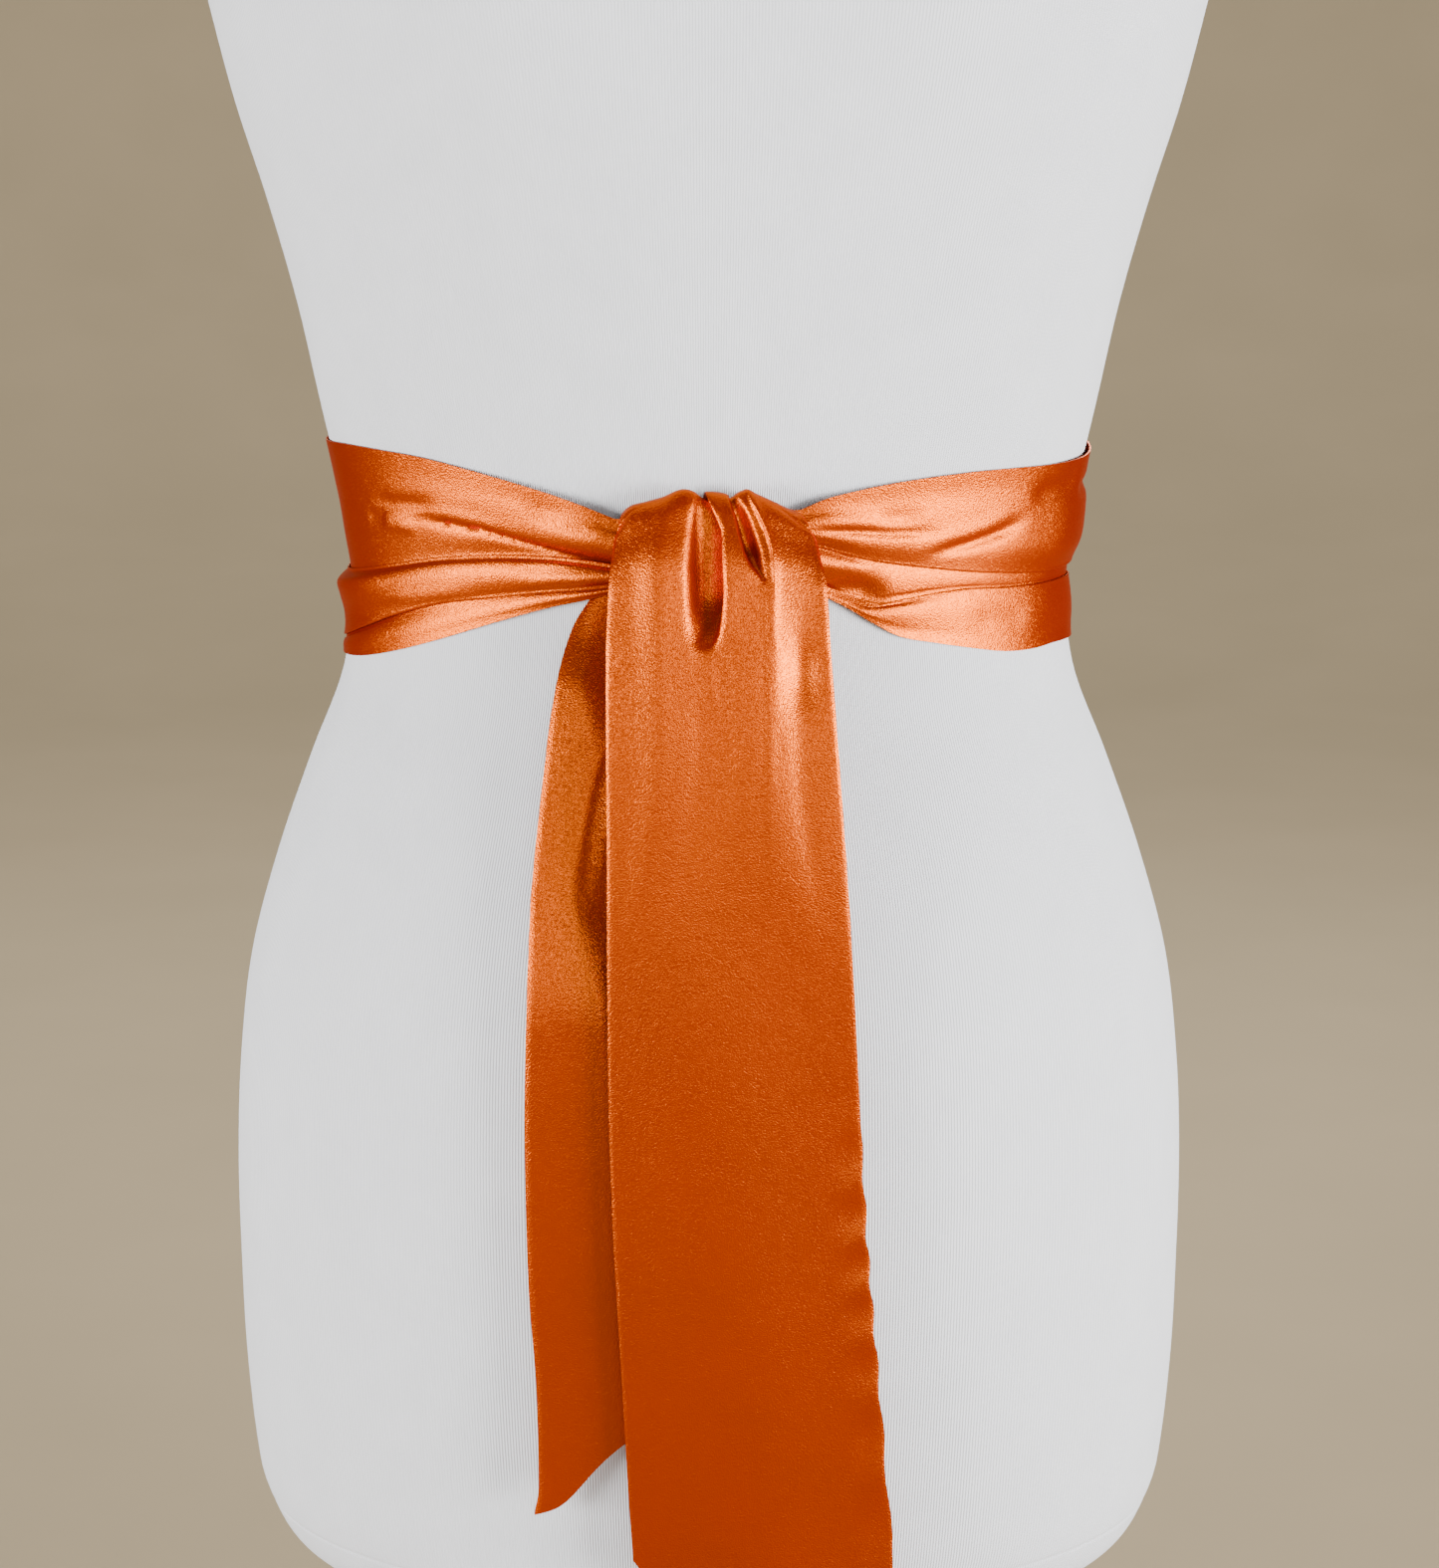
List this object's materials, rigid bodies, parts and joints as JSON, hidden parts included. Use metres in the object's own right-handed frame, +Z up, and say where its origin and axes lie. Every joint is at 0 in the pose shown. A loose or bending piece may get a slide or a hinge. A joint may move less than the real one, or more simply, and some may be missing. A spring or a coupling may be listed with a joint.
{
  "type": "satin sash on a dress form",
  "caption": "Orange satin waist sash with diagonally cut ends, knotted once at the front of a white limbless dress form on a round table stand.",
  "frame": {"origin": "centre of the round base's underside, on the surface that the form stands on", "axes": "+Z up along the form's axis; the front of the form, with the knot, faces -Y; +X to the right as seen from the front"},
  "size_m": [0.362, 0.3, 0.9143],
  "materials": {
    "orange_satin": "orange satin with a strong soft sheen",
    "white_jersey": "matt fine-rib white jersey stretched over a firm form",
    "pale_wood": "oiled pale wood",
    "white_paint": "satin white paint",
    "brushed_steel": "brushed"
  },
  "bodies": {
    "root": {"sash_band_left": "orange_satin", "sash_band_back": "orange_satin", "sash_band_right": "orange_satin", "sash_knot": "orange_satin", "sash_tail_front": "orange_satin", "sash_tail_rear": "orange_satin", "dress_form": "white_jersey", "neck_cap": "pale_wood", "stand_stem": "brushed_steel", "stand_base": "white_paint"}
  },
  "joints": []
}
